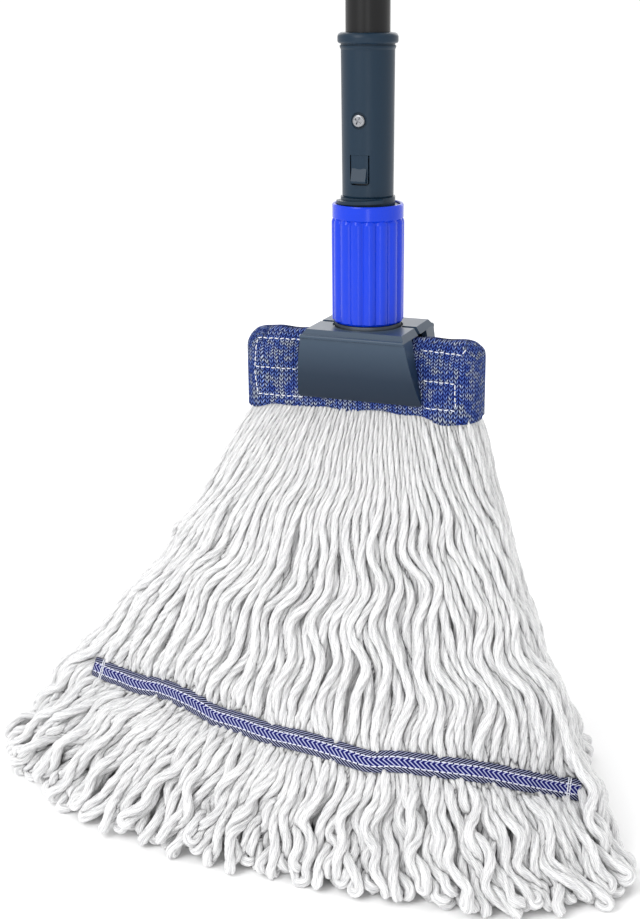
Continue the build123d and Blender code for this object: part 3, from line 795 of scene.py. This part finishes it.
# ---------------------------------------------------------------- materials
def knit_material():
    """Navy and royal blue raschel knit: columns of small light V stitches."""
    n = Nodes("band_knit")
    across, up, _ = n.attribute_parts("weave")
    across = n.times(across, 1 / 0.0031)
    up = n.times(up, 1 / 0.0025)
    across = n.plus(across, n.times(n.noise(n.position(), 120.0, 2.0), 0.22))
    column = n.off_centre(n.math("FRACT", across))
    slant = n.math("FRACT", n.plus(up, n.times(column, 2.1)))
    legs = n.times(n.minus(column, 0.05), 6.0, clamp=True)
    legs = n.times(legs, n.times(n.minus(0.49, column), 9.0, clamp=True))
    mark = n.times(n.ridge(slant, 3.0), legs)
    patch = n.noise(n.position(), 260.0, 2.0, 0.6)
    pale = n.ramp(patch, [(0.28, (0.05, 0.12, 0.60)), (0.47, (0.20, 0.34, 0.90)), (0.64, (0.80, 0.90, 1.0))])
    ground = n.mix(n.noise(n.position(), 60.0), (0.001, 0.002, 0.012, 1), (0.001, 0.005, 0.10, 1))
    base = n.mix(n.math("POWER", mark, 0.8), ground, pale)
    n.set(Base_Color=base, Roughness=0.85, Specular_IOR_Level=0.12)
    n.bump(mark, 0.9, 0.0007)
    return n.material


def webbing_material():
    """Flat woven tape: a royal herringbone middle between white lines, with grey twill edges."""
    n = Nodes("tail_webbing")
    run, down, _ = n.attribute_parts("weave")
    across = n.math("ABSOLUTE", down)
    arm = n.math("ABSOLUTE", n.plus(down, 0.0011))
    chevron = n.math("FRACT", n.minus(n.times(run, 1 / 0.0030), n.times(arm, 1 / 0.0023)))
    line = n.ridge(chevron, 4.4)
    twill = n.math("FRACT", n.minus(n.times(run, 1 / 0.0026), n.times(across, 1 / 0.0014)))
    twill = n.math("GREATER_THAN", twill, 0.66)
    centre = n.mix(n.times(line, 0.85), (0.002, 0.003, 0.11, 1), (0.66, 0.70, 0.95, 1))
    edge = n.mix(twill, (0.003, 0.004, 0.022, 1), (0.30, 0.32, 0.47, 1))
    colour = n.mix(n.math("GREATER_THAN", across, MIDDLE_HALF), centre, edge)
    dash = n.math("GREATER_THAN", n.math("FRACT", n.times(run, 1 / 0.0036)), 0.28)
    near = n.math("LESS_THAN", n.math("ABSOLUTE", n.minus(across, MIDDLE_HALF)), 0.00033)
    white = n.times(n.times(dash, near), 0.85)
    colour = n.mix(white, colour, (0.75, 0.76, 0.84, 1))
    n.set(Base_Color=colour, Roughness=0.75, Specular_IOR_Level=0.15)
    n.bump(n.plus(line, twill), 0.5, 0.0003)
    return n.material


def thread_material():
    n = Nodes("white_thread")
    fibre = n.noise(n.position(), 1500.0, 2.0)
    n.set(Base_Color=n.mix(fibre, (0.86, 0.87, 0.90, 1), (0.66, 0.68, 0.76, 1)), Roughness=0.8)
    n.bump(fibre, 0.3, 0.0002)
    return n.material


def plastic(name, colour, roughness, specular=0.4, grain=0.15, coat=0.0):
    """Moulded plastic: a fine mould grain, faint scuffs and slightly uneven gloss."""
    n = Nodes(name)
    cloud = n.noise(n.position(), 35.0, 3.0)
    fine = n.noise(n.position(), 1600.0, 2.0)
    shade = tuple(c * 0.82 for c in colour)
    base = n.mix(n.times(cloud, 0.6), (*colour, 1), (*shade, 1))
    rough = n.plus(n.times(cloud, 0.14), roughness - 0.07)
    n.set(Base_Color=base, Roughness=rough, Specular_IOR_Level=specular)
    n.set(Coat_Weight=coat, Coat_Roughness=0.12)
    n.bump(n.plus(fine, n.times(cloud, 0.4)), grain, 0.0001)
    return n.material


def jaw_plastic():
    """The jaws' plastic, with painted light: paler towards the lip and darker towards the bottom."""
    n = Nodes("slate_plastic_painted_light")
    height = n.add("ShaderNodeSeparateXYZ", {0: n.add("ShaderNodeTexCoord").outputs["Generated"]}).outputs[2]
    cloud = n.noise(n.position(), 35.0, 3.0)
    # painted light and shade: the colour runs from dark at the jaw's bottom to pale at its top
    stops = [(0.0, (0.003, 0.013, 0.031)), (0.30, (0.006, 0.019, 0.041)), (0.72, (0.036, 0.060, 0.094))]
    rough = n.plus(n.times(cloud, 0.14), 0.25)
    n.set(Base_Color=n.ramp(height, stops), Specular_IOR_Level=0.30, Roughness=rough)
    n.bump(n.noise(n.position(), 1600.0, 2.0), 0.08, 0.0001)
    return n.material


def painted_steel():
    n = Nodes("black_steel")
    cloud = n.noise(n.position(), 50.0, 3.0)
    base = n.mix(cloud, (0.003, 0.003, 0.0035, 1), (0.006, 0.006, 0.0065, 1))
    n.set(Base_Color=base, Specular_IOR_Level=0.3, Roughness=n.plus(n.times(cloud, 0.12), 0.26))
    n.bump(n.noise(n.position(), 1100.0, 2.0), 0.12, 0.0001)
    return n.material


def bare_metal(name, colour, roughness):
    n = Nodes(name)
    cloud = n.noise(n.position(), 400.0, 3.0)
    base = n.mix(cloud, (*colour, 1), (*(c * 0.8 for c in colour), 1))
    n.set(Base_Color=base, Metallic=1.0, Roughness=n.plus(n.times(cloud, 0.2), roughness))
    n.bump(cloud, 0.2, 0.0001)
    return n.material


def rubber():
    n = Nodes("grip_rubber")
    fine = n.noise(n.position(), 700.0, 3.0)
    base = n.mix(fine, (0.010, 0.010, 0.011, 1), (0.022, 0.022, 0.024, 1))
    n.set(Base_Color=base, Roughness=0.72, Specular_IOR_Level=0.35)
    n.bump(fine, 0.4, 0.0003)
    return n.material


def paint_nodes():
    """Gives every carried-over CAD node its finish."""
    finishes = [
        (plastic("slate_plastic", (0.007, 0.023, 0.044), 0.36, 0.26), ["socket", "snap_tab", "jaw_carrier"]),
        (plastic("blue_plastic", (0.0005, 0.038, 0.62), 0.18, 0.28, 0.06, 0.10),
         ["twist_collar", "lock_collar", "hanging_cap"]),
        (jaw_plastic(), ["front_jaw", "rear_jaw"]),
        (plastic("light_plastic", (0.50, 0.52, 0.54), 0.42), ["lock_bushing", "guide_plug"]),
        (painted_steel(), ["lower_tube", "upper_tube"]),
        (rubber(), ["grip_sleeve"]),
        (bare_metal("zinc", (0.34, 0.35, 0.37), 0.22), ["handle_screw", "jaw_pins"]),
        (bare_metal("dark_steel", (0.16, 0.18, 0.21), 0.30), ["thrust_ring"]),
        (bare_metal("spring_steel", (0.55, 0.55, 0.57), 0.25), ["jaw_springs"]),
    ]
    for material, nodes in finishes:
        for thing in (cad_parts[node] for node in nodes):
            if not thing.material_slots:
                thing.data.materials.append(material)
            for place in thing.material_slots:
                place.material = material


# ---------------------------------------------------------------- the stage
FLOOR_HALF = 60.0
SUN_FROM = (-0.42, -0.62, 0.95)
LIT_POINT = (0, 0, 0.35)


def make_stage():
    scene = bpy.context.scene
    scene.view_settings.view_transform = "Standard"
    world = bpy.data.worlds.new("world")
    world.use_nodes = True
    background = world.node_tree.nodes["Background"]
    background.inputs["Color"].default_value = (1, 1, 1, 1)
    background.inputs["Strength"].default_value = 0.95
    scene.world = world
    mesh = bpy.data.meshes.new("floor")
    corners = [(x * FLOOR_HALF, y * FLOOR_HALF, 0) for x, y in ((-1, -1), (1, -1), (1, 1), (-1, 1))]
    mesh.from_pydata(corners, [], [(0, 1, 2, 3)])
    n = Nodes("floor_white")
    n.set(Base_Color=(0.98, 0.98, 0.98, 1), Roughness=0.9, Specular_IOR_Level=0.0)
    mesh.materials.append(n.material)
    floor = bpy.data.objects.new("floor", mesh)
    scene.collection.objects.link(floor)
    sun = bpy.data.lights.new("sun", "SUN")
    sun.energy = 0.50
    sun.angle = math.radians(28)
    lamp = bpy.data.objects.new("sun", sun)
    lamp.rotation_euler = Vector(SUN_FROM).to_track_quat("Z", "Y").to_euler()
    scene.collection.objects.link(lamp)
    add_softbox("softbox_front", (-0.50, -1.38, 1.05), (0.6, 0.9), 9.0)
    add_softbox("softbox_low", (0.42, -1.15, 0.30), (0.22, 0.6), 0.9)
    add_softbox("softbox_back", (-0.45, 1.5, 1.05), (2.2, 0.8), 9.0)


def add_softbox(name, place, size, power):
    light = bpy.data.lights.new(name, "AREA")
    light.shape = "RECTANGLE"
    light.size, light.size_y = size
    light.energy = power
    lamp = bpy.data.objects.new(name, light)
    lamp.location = place
    lamp.rotation_euler = (Vector(place) - Vector(LIT_POINT)).to_track_quat("Z", "Y").to_euler()
    lamp.visible_camera = False
    bpy.context.scene.collection.objects.link(lamp)


def main():
    make_camera()
    make_yarn()
    white = thread_material()
    band = make_headband()
    stitching = make_band_stitching(white)
    webbing = webbing_material()
    make_belt("tail_band_front_tape", FRONT_BELT, "tail_band_front", webbing, white)
    make_belt("tail_band_rear_tape", REAR_BELT, "tail_band_rear", webbing, white)
    paint_nodes()
    make_stage()


main()
